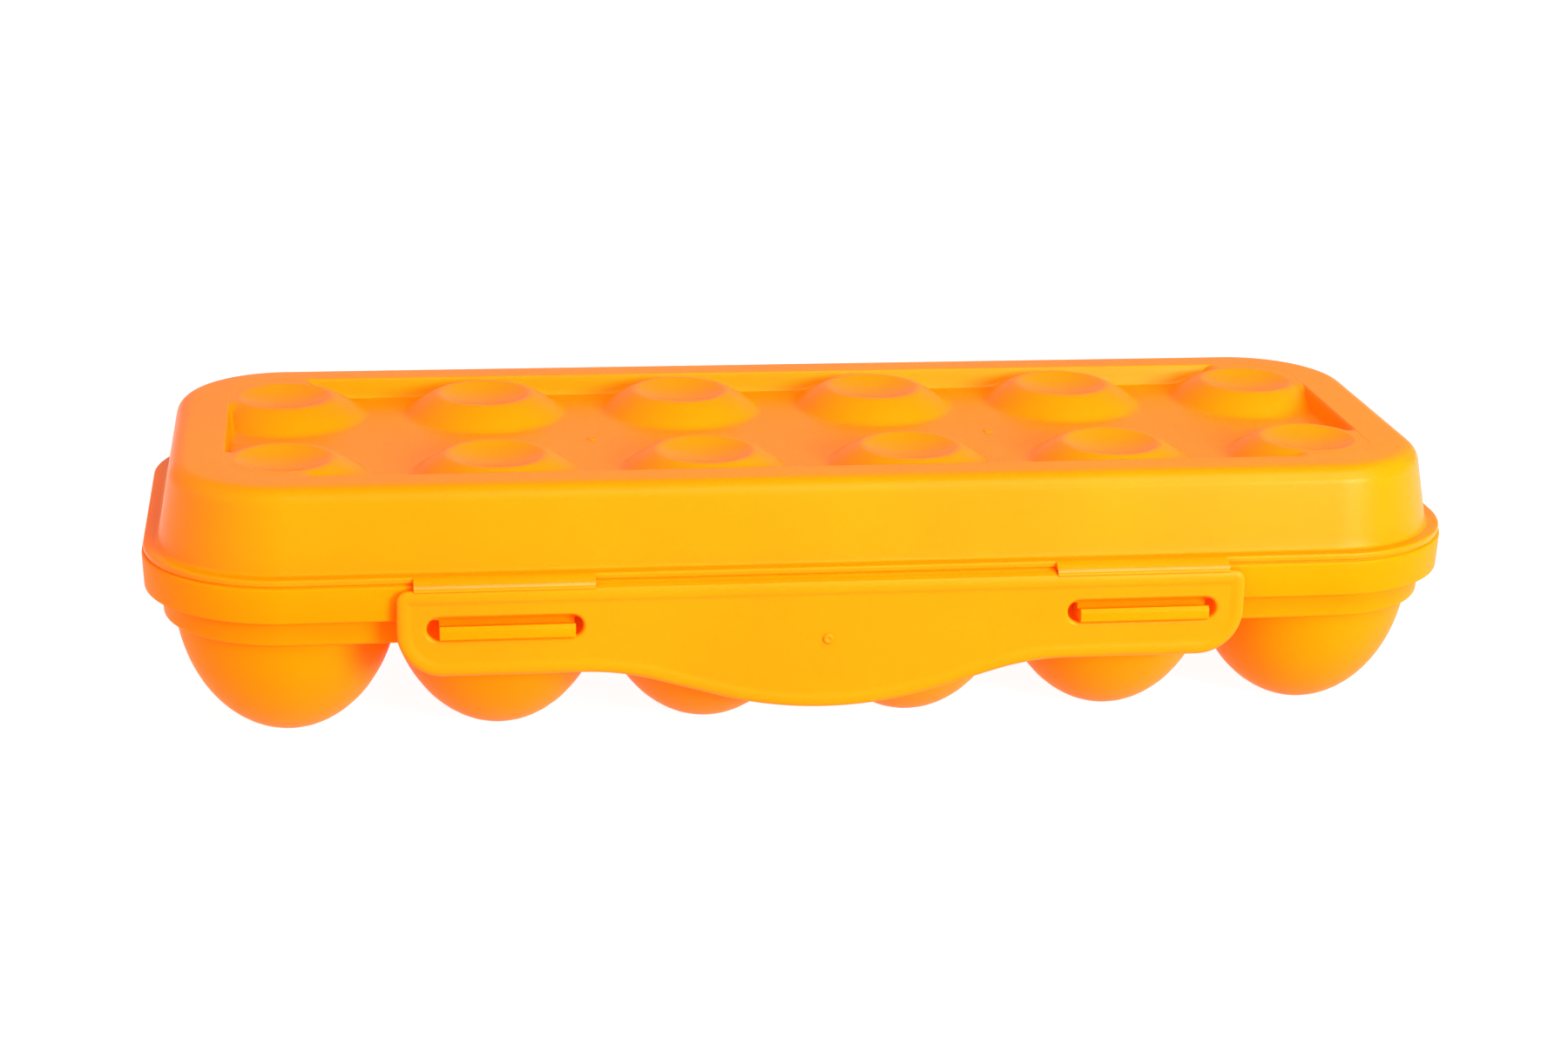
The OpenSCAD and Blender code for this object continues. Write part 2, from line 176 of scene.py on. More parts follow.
def spreadByBend(start, end, height, pieces, bendLength=2.5, samples=300):
    # Lines in plan laid over a surface, with their points closer where the surface bends
    t = np.linspace(0, 1, samples + 1)
    plan = start[:, None] + (end - start)[:, None] * t[None, :, None]
    z = height(plan[..., 0], plan[..., 1])
    step = np.linalg.norm(end - start, axis=1)[:, None] / samples
    dz = np.diff(z, axis=1)
    slope = np.arctan2(dz, step)
    bend = np.abs(np.diff(slope, axis=1, prepend=slope[:, :1]))
    cost = np.hypot(step, dz) + bendLength * bend + 1e-9  # never quite nothing, so it can be shared
    total = np.hstack([np.zeros((len(start), 1)), np.cumsum(cost, axis=1)])
    wanted = np.linspace(0, 1, pieces + 1)
    place = np.array([np.interp(wanted * line[-1], line, t) for line in total])
    spots = start[:, None] + (end - start)[:, None] * place[..., None]
    levels = height(spots[..., 0], spots[..., 1])
    return np.concatenate([spots, levels[..., None]], axis=2).transpose(1, 0, 2)


def layCell(sheet, axis, outline, rings, height, pieces):
    # Round rings (radius, level) out from the axis, then lines that run out to the outline
    way = outline - axis
    way = way / np.linalg.norm(way, axis=1)[:, None]
    plan = axis + way[None] * rings[:, 0, None, None]
    level = np.broadcast_to(rings[:, 1, None, None], plan.shape[:2] + (1,))
    outer = spreadByBend(axis + way * rings[-1, 0], outline, height, pieces)
    addGrid(sheet, np.vstack([np.concatenate([plan, level], axis=2)[:-1], outer]), closed=True)


def makePiece(name, points, faces, moulding, sharpAngle=50):
    # Welds the sheets, turns every face outwards and makes the piece ride on its body
    body, finish, slot = moulding
    spots = (np.asarray(points) + (0, keeper["shiftY"], 0)) * mm
    mesh = bpy.data.meshes.new(name)
    mesh.from_pydata(spots.tolist(), [], [list(face) for face in faces])
    shape = bmesh.new()
    shape.from_mesh(mesh)
    bmesh.ops.remove_doubles(shape, verts=shape.verts, dist=keeper["weld"] * mm)
    bmesh.ops.recalc_face_normals(shape, faces=shape.faces)
    openEdges = sum(1 for edge in shape.edges if not edge.is_manifold)
    shape.to_mesh(mesh)
    shape.free()
    mesh.shade_smooth()
    mesh.set_sharp_from_angle(angle=math.radians(sharpAngle))
    piece = bpy.data.objects.new(name, mesh)
    bpy.context.scene.collection.objects.link(piece)
    mesh.materials.append(finish)
    if body:
        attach(piece, body)
    print(f"made {name}: {len(mesh.polygons)} faces, {openEdges} open edges")
    return piece


def soften(piece, width, pieces=3, angle=30):
    # The small radius that a mould leaves on its edges
    bevel = piece.modifiers.new("mouldRadius", "BEVEL")
    bevel.width, bevel.segments = width * mm, pieces
    bevel.limit_method, bevel.angle_limit = "ANGLE", math.radians(angle)
    bevel.use_clamp_overlap = True


def prism(name, section, start, end, moulding, radius):
    # A section of (y, z) points drawn out along x
    count = len(section)
    points = [(x, y, z) for x in (start, end) for y, z in section]
    faces = [tuple(range(count)), tuple(range(2 * count - 1, count - 1, -1))]
    faces += [(i, i + count, (i + 1) % count + count, (i + 1) % count) for i in range(count)]
    piece = makePiece(name, points, faces, moulding, sharpAngle=35)
    if radius:
        soften(piece, radius)
    return piece


# Finishes

def toLinear(colour):
    channels = [int(colour[i:i + 2], 16) / 255 for i in (1, 3, 5)]
    return [c / 12.92 if c <= 0.04045 else ((c + 0.055) / 1.055) ** 2.4 for c in channels] + [1.0]


def addNode(tree, kind, settings=None, links=None):
    node = tree.nodes.new(kind)
    for name, value in (settings or {}).items():
        if isinstance(name, int) or name in node.inputs:
            node.inputs[name].default_value = value
        else:
            setattr(node, name, value)
    for name, output in (links or {}).items():
        tree.links.new(output, node.inputs[name])
    return node


def perMetre(size):
    return 1 / (size * mm)


polypropylene = {
    "colour": "#FF7700", "deeper": "#FF7200", "roughness": 0.33, "spread": 0.06, "ior": 1.49,
    "specular": 0.15,    # satin skin, so it reflects less than polished plastic
    "specularTint": "#FFDCAC",  # head on, the skin's reflection takes on the pigment's warmth
    "cloud": 38.0,       # mm, slow change of shade where the melt ran together
    "grain": 0.55,       # mm, spark-eroded mould grain, drawn coarser than real to show
    "grainDepth": 0.010, # mm
    "sink": 14.0,        # mm, the faint waviness of a cooled wall
    "sinkDepth": 0.05,   # mm
    "glow": 0.15,        # share of the light that comes back from under the surface
    "glowDepth": 2.5,    # mm, how far it wanders there
    "glowColours": (1.0, 0.35, 0.08),  # red wanders furthest
}


def mouldedPolypropylene(name, changes=None):
    # Injection-moulded polypropylene, satin: soft wide highlights and colour that stays full
    # in the shade, because light wanders a little under the surface
    s = {**polypropylene, **(changes or {})}
    material = bpy.data.materials.new(name)
    material.use_nodes = True
    tree = material.node_tree
    shader = tree.nodes["Principled BSDF"]
    place = addNode(tree, "ShaderNodeTexCoord").outputs["Object"]
    cloud = addNode(tree, "ShaderNodeTexNoise",
        {"Scale": perMetre(s["cloud"]), "Detail": 3.0, "Roughness": 0.45}, {"Vector": place})
    blend = addNode(tree, "ShaderNodeMapRange",
        {"From Min": 0.3, "From Max": 0.7}, {"Value": cloud.outputs["Fac"]})
    tone = addNode(tree, "ShaderNodeMix",  # its colours go in at 6 and 7 and come out at 2
        {"data_type": "RGBA", 6: toLinear(s["deeper"]), 7: toLinear(s["colour"])},
        {0: blend.outputs["Result"]})
    tree.links.new(tone.outputs[2], shader.inputs["Base Color"])
    grain = addNode(tree, "ShaderNodeTexNoise",
        {"Scale": perMetre(s["grain"]), "Detail": 2.0, "Roughness": 0.55}, {"Vector": place})
    gloss = addNode(tree, "ShaderNodeMapRange",
        {"From Min": 0.25, "From Max": 0.75, "To Min": s["roughness"] - s["spread"],
         "To Max": s["roughness"] + s["spread"]}, {"Value": grain.outputs["Fac"]})
    tree.links.new(gloss.outputs["Result"], shader.inputs["Roughness"])
    sink = addNode(tree, "ShaderNodeTexNoise",
        {"Scale": perMetre(s["sink"]), "Detail": 1.0, "Roughness": 0.4}, {"Vector": place})
    wave = addNode(tree, "ShaderNodeBump",
        {"Strength": 1.0, "Distance": s["sinkDepth"] * mm}, {"Height": sink.outputs["Fac"]})
    rough = addNode(tree, "ShaderNodeBump",
        {"Strength": 1.0, "Distance": s["grainDepth"] * mm},
        {"Height": grain.outputs["Fac"], "Normal": wave.outputs["Normal"]})
    tree.links.new(rough.outputs["Normal"], shader.inputs["Normal"])
    shader.inputs["IOR"].default_value = s["ior"]
    shader.inputs["Specular IOR Level"].default_value = s["specular"]
    shader.inputs["Specular Tint"].default_value = toLinear(s["specularTint"])
    shader.inputs["Subsurface Weight"].default_value = s["glow"]
    shader.inputs["Subsurface Radius"].default_value = s["glowColours"]
    shader.inputs["Subsurface Scale"].default_value = s["glowDepth"] * mm
    return material


# The tray's skin is duller, so the cups keep their full orange low down near the pale floor
trayPlastic = mouldedPolypropylene("orangePolypropyleneTray",
    {"specular": 0.045, "roughness": 0.42})
# Lid and flap are satin, with soft light bands along their radii
lidPlastic = mouldedPolypropylene("orangePolypropyleneLid")
flapPlastic = mouldedPolypropylene("orangePolypropyleneFlap")
# Bent thin, the web is drawn paler and glossier than the walls; its paler colour is partly stress
# whitening and partly a painted highlight, the bright line along the web
filmPlastic = mouldedPolypropylene("stressWhitenedFilmAndPaintedSheen",
    # paler colour: partly stress whitening, partly painted highlight
    {"colour": "#FF8A3C", "deeper": "#FF8030", "roughness": 0.3, "grainDepth": 0.004})
print("finishes made")

# The body that a moulding rides on, its finish and its slot
onTray = ("base", trayPlastic, "tray")
onLid = ("lid", lidPlastic, "lid")
onFlap = ("flap", flapPlastic, "flap")
filmOnly = (None, filmPlastic, "film")  # rides on nothing; the real web bends between two bodies, and this piece stays straight

lid = {
    "top": 65.5, "seat": 45.1, "wall": 1.4,
    "panelCorner": (124.0, 29.3),  # axes of the sunk panel's corners
    "panelEdge": 12.0,             # from these to its top edge
    "cellReach": (11.0, 9.9),      # from these to the cells round the bosses
    "frameStrip": 1.2, "underStrip": 2.9,           # carried on past the panel's edge
    "depth": 4.8, "draft": 12.0,                    # of the panel; its sides lean, in degrees
    "lipRadius": 11.9, "lipDrop": 0.03, "lipBlend": 0.4,      # crest of a boss
    "levelRing": 0.95, "ringSlope": 2.0,            # inside the crest, nearly level
    "dishDepth": 2.2, "dishBlend": 0.3, "dome": 30.0,         # the dome falls from the crest
    "bossRings": (0, 2, 4, 6, 7.8, 9, 9.8, 10.3, 10.6, 10.8, 11.0, 11.2, 11.4, 11.6, 11.75,
                  11.9, 12.05, 12.2),               # radii, close together round the crest
    "flankBlend": 0.9, "edgeBlend": 1.6,
    "footBlend": 2.2, "leastBlend": 0.2, "footFade": (-0.5, 0.15),
    # Near the frame a flank doesn't come down: it bridges a gap as wide as this, lip to edge
    "bridgeRow": 1.9, "bridgeEnd": 2.4, "bridgeCorner": 4.3,
    "endsFrom": (-11, -3), "cornerFrom": (-3, 5),   # where the last two set in, from the axis
    "bridgeRise": 0.4, "bridgeFall": 0.9, "bridgePower": 1.5, "bridgeEase": 1.2,  # past the gap
    "lipClear": 0.35, "lipFall": 3.5,               # it keeps clear of the crest
    "bridgeTop": 0.8, "bridgeBlend": 0.3, "bridgeOut": 0.3,
    "flange": 32.5, "flangeThickness": 1.5, "flangeWidth": 3.2,
    "flangeRound": 0.5, "flangeLow": 0.2,           # its upper and lower radius
    "lean": 10.9, "topRadius": 4.5, "cove": 0.9, "coveShift": 0.15,
    "outerLevels": (11, 8, 5, 2.6), "innerLevels": (0, 5, 11),  # on the wall, over the flange
    "lipOut": 30.8, "lipThickness": 1.2, "lipDepth": 2.4,       # the locating lip
    "tipOut": 0.5, "tipIn": 0.3, "rootOut": 0.15, "rootIn": 0.4,
}
lidCounts = {"front": (26, 26, 14), "end": 16, "side": 15, "mid": (18, 18, 14),
             "cell": 16, "cellUnder": 12, "strip": 16}


def panelHeight(x, y, sunk=0.0):
    # Level of the sunk panel with its bosses; sunk gives the face under it, a wall lower
    s = lid
    top = s["top"] - sunk
    r = np.hypot(np.mod(x, keeper["pitch"]) - keeper["pitch"] / 2, y - keeper["rowAxis"])
    crest = top - s["lipDrop"] + s["lipBlend"] / 4
    slope = math.tan(math.radians(s["ringSlope"]))
    edge = s["lipRadius"] - s["levelRing"]
    sag = s["dishDepth"] - s["levelRing"] * slope
    bowlRadius = (edge ** 2 + sag ** 2) / (2 * sag)
    bowl = crest - s["dishDepth"] + bowlRadius - np.sqrt(np.maximum(bowlRadius ** 2 - r * r, 1))
    dish = softMin(bowl, crest - slope * (s["lipRadius"] - r), s["dishBlend"])
    domeCentre = crest + sunk - math.sqrt(s["dome"] ** 2 - s["lipRadius"] ** 2)
    dome = domeCentre + np.sqrt(np.maximum((s["dome"] - sunk) ** 2 - r * r, 1))
    boss = softMin(dish, dome, s["lipBlend"])
    base = softMax(boss, top - s["depth"], s["flankBlend"])

    # The panel's side, as the distance out from its top edge
    qx, qy = x - s["panelCorner"][0], y - s["panelCorner"][1]
    out = np.hypot(np.maximum(qx, 0), np.maximum(qy, 0)) + np.minimum(np.maximum(qx, qy), 0)
    out = out - s["panelEdge"] - sunk
    side = softMin(top + out / math.tan(math.radians(s["draft"])), top, s["edgeBlend"])
    least = s["leastBlend"]
    foot = least + (s["footBlend"] - least) * (1 - easeIn(out, *s["footFade"]))
    level = softMax(base, side, foot)

    # The bridge from a boss to the frame
    toLip = r - s["lipRadius"]
    last = easeIn(x, *(keeper["endAxis"] + near for near in s["endsFrom"]))
    span = s["bridgeRow"] + (s["bridgeEnd"] - s["bridgeRow"]) * last
    corner = last * easeIn(y - keeper["rowAxis"], *s["cornerFrom"])
    reachOver = span + (s["bridgeCorner"] - span) * corner
    beyond = np.maximum(toLip, 0) + np.maximum(-out, 0) - reachOver
    fall = softMax(beyond, 0 * beyond, s["bridgeEase"]) ** s["bridgePower"]
    bridge = top + s["bridgeRise"] - s["bridgeFall"] * fall
    bridge = bridge - s["lipFall"] * np.maximum(s["lipClear"] - toLip, 0)
    bridge = softMin(bridge, top + 0 * bridge, s["bridgeTop"])
    bridged = np.minimum(softMax(level, bridge, s["bridgeBlend"]), top)
    return np.where(out < s["bridgeOut"], bridged, level)


def lidSection():
    # From the flat frame over the outside, round the flange and the lip, and up the inside
    s = lid
    seat, flangeTop = s["seat"], s["seat"] + s["flangeThickness"]
    lean, foot = math.radians(s["lean"]), s["flange"] - s["flangeWidth"]
    roundZ = s["top"] - s["topRadius"]
    tangentZ = roundZ + s["topRadius"] * math.sin(lean)
    roundX = foot - (tangentZ - flangeTop) * math.tan(lean) - s["topRadius"] * math.cos(lean)
    coveX = foot + s["cove"] * (1 - s["coveShift"])
    upper, lower, lipIn = s["flangeRound"], s["flangeLow"], s["lipOut"] - s["lipThickness"]
    tip, tipZ, heel = s["tipOut"], seat - s["lipDepth"], s["tipIn"]
    inner = foot - s["wall"]
    return np.vstack([
        arc(roundX, roundZ, s["topRadius"], 90, s["lean"], 14),
        [(foot - h * math.tan(lean), flangeTop + h) for h in s["outerLevels"]],
        arc(coveX, flangeTop + s["cove"], s["cove"], 180 + s["lean"], 270, 6),
        arc(s["flange"] - upper, flangeTop - upper, upper, 90, 0, 4),
        arc(s["flange"] - lower, seat + lower, lower, 0, -90, 3),
        [(s["lipOut"] + s["rootOut"], seat), (s["lipOut"], seat - s["rootOut"])],
        arc(s["lipOut"] - tip, tipZ + tip, tip, 0, -90, 3),
        arc(lipIn + heel, tipZ + heel, heel, 270, 180, 3),
        [(lipIn, seat), (inner + s["rootIn"], seat), (inner, seat + s["rootIn"])],
        [(inner - h * math.tan(lean), flangeTop + h) for h in s["innerLevels"]],
        arc(roundX, roundZ, s["topRadius"] - s["wall"], s["lean"], 90, 8)])


def makeLid():
    s, sheet, edges = lid, newSheet(), {}
    corner, reach = s["panelCorner"], s["cellReach"]
    path = wallPath(corner, reach, lidCounts)
    radii = np.array(s["bossRings"])
    for sunk, strip, pieces in ((0.0, s["frameStrip"], lidCounts["cell"]),
                                (s["wall"], s["underStrip"], lidCounts["cellUnder"])):
        height = lambda x, y: panelHeight(x, y, sunk)
        levels = height(keeper["pitch"] / 2 + radii, np.full(len(radii), keeper["rowAxis"]))
        for axis, outline in cellOutlines(path, corner, reach, lidCounts):
            layCell(sheet, axis, outline, np.column_stack([radii, levels]), height, pieces)
        inner = along(path, corner, reach)
        outer = along(path, corner, (s["panelEdge"] + strip,) * 2)
        grid = spreadByBend(inner, outer, height, lidCounts["strip"])
        addGrid(sheet, grid)
        edges[sunk] = grid[-1]
    wall = wallRings(path, lidSection())
    addGrid(sheet, np.array([edges[0.0], *wall, edges[s["wall"]]]))
    points, faces = mirrorFourWays(sheet)
    return makePiece("flip_lid", points, faces, onLid)


lidPiece = makeLid()
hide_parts("lid_shell")

tray = {
    "deckBottom": 29.5, "deckTop": 30.9, "wall": 1.4,
    "cupRadius": 26.1, "cupDepth": 34.1, "cupFloor": 1.3,       # a cup is half an oval
    "cupSpread": 1.7,                                           # its rings crowd at the floor
    "mouthRadius": 24.0, "mouthWidth": 0.5, "mouthDrop": 0.45,  # the rounding at a cup's mouth
    "footRadius": 3.2, "footBlend": 0.4, "footEnd": 5.4,        # flat foot under a cup
    "footRings": (0, 1.6, 2.7, 3.2, 3.6, 4.1, 4.7, 5.6, 7, 9, 11, 13, 15),
    "valley": 1.1,                                              # blend between two cups
    "topReach": 25.3, "bottomReach": 26.6,                      # from the axes to the wall
    "band": 28.7, "bandTaper": 0.3, "bandRound": 0.7, "bandHeight": 1.2, "bandLean": 0.1,
    "ledge": 36.3, "ledgeRound": 0.35,
    "rim": 32.9, "rimTaper": 0.3, "rimRound": 0.7, "rimLow": 0.35, "rimIn": 0.3,
    "rimTop": 44.7, "ridge": 0.3, "ridgeStep": 0.1,  # the ridge keeps light out of the seam
    "ledgeCut": 0.5, "bandCut": 0.3, "floorRound": 0.6,         # corners inside the wall
    "inLean": 0.35,
}
trayCounts = {"front": (20, 20, 10), "end": 10, "side": 10, "mid": (18, 18, 18),
              "cell": 3, "cellUnder": 20}


def cupOval(r):
    s = tray
    return s["cupDepth"] * (1 - np.sqrt(np.maximum(1 - (r / s["cupRadius"]) ** 2, 0)))


def trayUnderside(x, y):
    # The deck's underside with the cups hanging from it, and soft valleys where they meet
    z = np.full(np.shape(x), tray["deckBottom"])
    for column in (-0.5, 0.5, 1.5, 2.5):
        for row in (-1, 1):
            r = np.hypot(x - column * keeper["pitch"], y - row * keeper["rowAxis"])
            z = softMin(z, cupOval(r), tray["valley"])
    return z


def traySection():
    # From under the deck up the band and the rim outside, and down again inside
    s = tray
    low = s["band"] - s["bandTaper"] - s["bandRound"]
    side = s["rim"] - s["rimTaper"] - s["rimLow"]
    rimX, rimZ, ridgeTop = s["rim"] - s["rimRound"], s["rimTop"], s["rimTop"] + s["ridge"]
    curve, bend, hollow = s["ledgeRound"], s["rimIn"], s["floorRound"]
    inRim, inBand = side + s["rimLow"] - s["wall"], s["band"] - s["wall"]
    inLedge = s["ledge"] + s["wall"]
    return np.vstack([
        arc(low, s["deckBottom"] + s["bandRound"], s["bandRound"], -90, 0, 7),
        [(s["band"] - s["bandLean"], s["ledge"] - s["bandHeight"])],
        [(s["band"], s["ledge"] - curve)],
        arc(s["band"] + curve, s["ledge"] - curve, curve, 180, 90, 3),
        arc(side, s["ledge"] + s["rimLow"], s["rimLow"], -90, 0, 4),
        arc(rimX, rimZ - s["rimRound"], s["rimRound"], 0, 90, 5),
        [(rimX - s["ridgeStep"], ridgeTop)],
        arc(s["rim"] - s["wall"] + bend, ridgeTop - bend, bend, 90, 180, 3),
        [(inRim, inLedge + s["ledgeCut"]), (inRim - s["ledgeCut"], inLedge)],
        [(inBand + s["bandCut"], inLedge), (inBand, inLedge - s["bandCut"])],
        [(inBand - s["inLean"], s["deckTop"] + hollow)],
        arc(inBand - s["bandTaper"] - hollow, s["deckTop"] + hollow, hollow, 0, -90, 3)])


def makeTray():
    s, sheet = tray, newSheet()
    top, bottom = (s["topReach"],) * 2, (s["bottomReach"],) * 2
    path = wallPath(wallCorner, top, trayCounts)
    # Inside of a cup: rings from its floor up the oval, then over the rounded mouth
    rise = np.linspace(0, 1, 20) ** s["cupSpread"]
    z = s["cupFloor"] + (s["deckTop"] - s["mouthDrop"] - s["cupFloor"]) * rise
    inner = s["cupDepth"] - s["cupFloor"]
    r = s["mouthRadius"] * np.sqrt(np.maximum(1 - ((s["cupDepth"] - z) / inner) ** 2, 0))
    turn = np.radians(np.linspace(0, 90, 6))[1:]
    mouth = np.column_stack([r[-1] + s["mouthWidth"] * (1 - np.cos(turn)),
                             s["deckTop"] - s["mouthDrop"] * (1 - np.sin(turn))])
    cup = np.vstack([np.column_stack([r, z]), mouth])
    flat = lambda x, y: np.full(np.shape(x), s["deckTop"])
    for axis, outline in cellOutlines(path, wallCorner, top, trayCounts):
        layCell(sheet, axis, outline, cup, flat, trayCounts["cell"])
    radii = np.array(s["footRings"])
    lift = easeIn(radii, s["footRadius"] - s["footBlend"], s["footEnd"])
    foot = np.column_stack([radii, cupOval(radii) * lift])
    for axis, outline in cellOutlines(path, wallCorner, bottom, trayCounts):
        layCell(sheet, axis, outline, foot, trayUnderside, trayCounts["cellUnder"])
    under = along(path, wallCorner, bottom)
    first = np.column_stack([under, trayUnderside(under[:, 0], under[:, 1])])
    wall = wallRings(path, [*traySection(), (s["topReach"], s["deckTop"])])
    addGrid(sheet, np.array([first, *wall]))
    points, faces = mirrorFourWays(sheet)
    return makePiece("egg_tray", points, faces, onTray)


trayPiece = makeTray()
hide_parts("base_tray")

flap = {
    "half": 98.0, "top": 44.1, "bottom": 23.7, "back": -60.2, "thickness": 1.6,
    "topCorner": 2.6, "lowCorner": 10.6,
    "tabRadius": 90.0, "wingRadius": 60.0, "run": 15.0,  # bow of the tab, hollow and run between
    "slopeCos": 0.96, "slopeSin": 0.28,                  # of that run
    "edgeWidth": 1.5, "edgeDrop": 0.9, "topMore": 0.5,   # the front's radius, wider at the top
    "backEdge": 0.25, "backMiddle": 0.07,                # the back's small radius
    "border": 3.6, "panelDrop": 0.28, "innerCorner": 0.2,  # the border stands proud of the face
    "slotAt": 73.7, "slotZ": 35.0, "slotHalf": 2.6, "slotStraight": 15.0, "slotFlare": 0.9,
    "slotBack": 0.4,
    "guard": 0.15,  # one more ring beyond a radius keeps the face flat in the light
    "gateZ": 30.3,
    # Section of the ledge between the two films; it closes the gap from the flap to the rim
    "ledge": [(-61.62, 43.2), (-61.45, 43.62), (-61.1, 43.98), (-60.6, 44.24), (-59.9, 44.48),
              (-59.5, 44.56), (-59.3, 44.4), (-59.3, 43.4), (-60.3, 42.6), (-61.2, 42.8)],
    "ledgeGap": 0.1,
}


def flapEdge():
    # Right half of the flap's edge, from the middle of the tab to the middle of the top,
    # as (x, z, outward x, outward z), and which of its rows are the tight top corner
    s = flap
    wingZ = s["bottom"] - s["wingRadius"] * (1 - s["slopeCos"])
    tabZ = wingZ - s["run"] * s["slopeSin"]
    tabX = s["tabRadius"] * s["slopeSin"]
    tabCentre = tabZ - s["tabRadius"] * (1 - s["slopeCos"]) + s["tabRadius"]
    wingX = tabX + s["run"] * s["slopeCos"] + s["wingRadius"] * s["slopeSin"]
    turn = math.degrees(math.asin(s["slopeSin"]))
    rows = []

    def bow(x, z, radius, start, end, pieces, side=1):
        for a in np.radians(np.linspace(start, end, pieces + 1)):
            c, n = math.cos(a), math.sin(a)
            rows.append((x + radius * c, z + radius * n, side * c, side * n))

    bow(0, tabCentre, s["tabRadius"], -90, -90 + turn, 16)
    bow(wingX, s["bottom"] - s["wingRadius"], s["wingRadius"], 90 + turn, 90, 14, side=-1)
    bow(s["half"] - s["lowCorner"], s["bottom"] + s["lowCorner"], s["lowCorner"], -90, 0, 18)
    tight = len(rows)
    bow(s["half"] - s["topCorner"], s["top"] - s["topCorner"], s["topCorner"], 0, 90, 8)
    rows.append((0, s["top"], 0, 1))
    return np.array(rows), np.arange(tight, len(rows) - 1)


def slotEdge(side):
    s, rows = flap, []
    for end in (1, -1):
        for a in np.radians(np.linspace(-90, 90, 17) + (0 if end > 0 else 180)):
            c, n = math.cos(a), math.sin(a)
            rows.append((side * s["slotAt"] + end * s["slotStraight"] + s["slotHalf"] * c,
                         s["slotZ"] + s["slotHalf"] * n, c, n))
    return np.array(rows)


def edgeRings(edge, section, tight=(), more=0.0):
    # Rings of (inset, depth) round an edge; depth is measured forward from the flap's back.
    # Past the radius of the tight corners their arc keeps a small radius of its own
    s, rings = flap, []
    held = np.full(len(edge), np.inf)
    held[list(tight)] = s["topCorner"] - s["innerCorner"]
    back = np.column_stack([-np.sign(edge[:, 0]), np.full(len(edge), -1.0)])
    for inset, depth in section:
        share = min(inset / s["edgeWidth"], 1) * (1 - easeIn(inset, s["edgeWidth"], s["border"]))
        total = inset + more * share * np.maximum(edge[:, 3], 0) ** 2
        spots = (edge[:, :2] - edge[:, 2:] * np.minimum(total, held)[:, None]
                 + back * np.maximum(total - held, 0)[:, None])
        y = np.full(len(edge), s["back"] - depth)
        rings.append(np.column_stack([spots[:, 0], y, spots[:, 1]]))
    return rings


def fillFlat(points, loops):
    # Triangles for the flat back and front, between the flap's edge and its slots
    shape = bmesh.new()
    spots = [shape.verts.new(point) for point in points]
    for front in (False, True):
        rims = []
        for start, count, depth in loops:
            first = start + (depth - 1) * count * front
            rims += [shape.edges.new((spots[first + i], spots[first + (i + 1) % count]))
                     for i in range(count)]
        bmesh.ops.triangle_fill(shape, use_beauty=True, use_dissolve=False, edges=rims)
    shape.verts.index_update()
    faces = [[v.index for v in face.verts] for face in shape.faces]
    shape.free()
    return faces


def makeFlap():
    s, sheet, loops = flap, newSheet(), []
    half, corner = flapEdge()
    left = half[1:-1][::-1] * (-1, 1, -1, 1)
    edge = np.vstack([half, left])
    tight = np.concatenate([corner, 2 * len(half) - 2 - corner])
    thick, drop, wide, flare = s["thickness"], s["edgeDrop"], s["edgeWidth"], s["slotFlare"]
    bow = np.radians(np.linspace(0, 90, 9))
    face = thick - s["panelDrop"]
    # Over the edge: the back's small radius, the front's radius and the fall to the face
    rim = [(s["backEdge"], 0), (s["backMiddle"],) * 2, (0, s["backEdge"])]
    rim += [(wide * (1 - math.cos(a)), thick - drop * (1 - math.sin(a))) for a in bow]
    rim += [(wide + (0.2 + 0.8 * t) * (s["border"] - wide),
             thick - s["panelDrop"] * t * t * (3 - 2 * t)) for t in (0, 0.2, 0.4, 0.6, 0.8, 1)]
    rim.append((s["border"] + s["guard"], face))
    # Through a slot: straight in from the back, then flared out to the face
    hole = [(0, 0), (0, s["slotBack"])]
    hole += [(-flare * (1 - math.cos(a)), face - flare * (1 - math.sin(a))) for a in bow]
    hole.append((-flare - s["guard"], face))
    for line, section, corners, more in ((edge, rim, tight, s["topMore"]),
                                         (slotEdge(-1), hole, (), 0), (slotEdge(1), hole, (), 0)):
        grid = np.array(edgeRings(line, section, corners, more))
        loops.append((sheet["count"], len(line), grid.shape[0]))
        addGrid(sheet, grid, closed=True)
    points, faces = sewn(sheet)
    faces = faces.tolist() + fillFlat(points, loops)
    return makePiece("snap_flap", points, faces, onFlap, sharpAngle=60)


film = {
    "y": -61.0, "z": 44.75, "half": 20.4,                # the line that the web bends on
    "web": 0.2, "flare": 0.1, "up": 0.5, "down": 0.6,    # thickness, and how it grows to its ends
    "bend": 0.3,                                         # a bend up and down, in mm, which the straight web here doesn't take
    # Half of the bevelled shoulder on the flap, out and up from that line
    "shoulder": [(0.62, -0.85), (0.62, -0.6), (0.52, -0.42), (0.3, -0.25), (0.12, -0.19)],
    # Top of the land on the lid, back and up from the flange's upper edge
    "land": [(1.5, -0.05), (1.0, 0.02), (0.3, -0.02), (-0.6, -0.36), (-1.5, -0.9)],
    "landFront": 0.1, "landTip": (0.17, 0.12, 0.06), "landIn": 0.7,
}


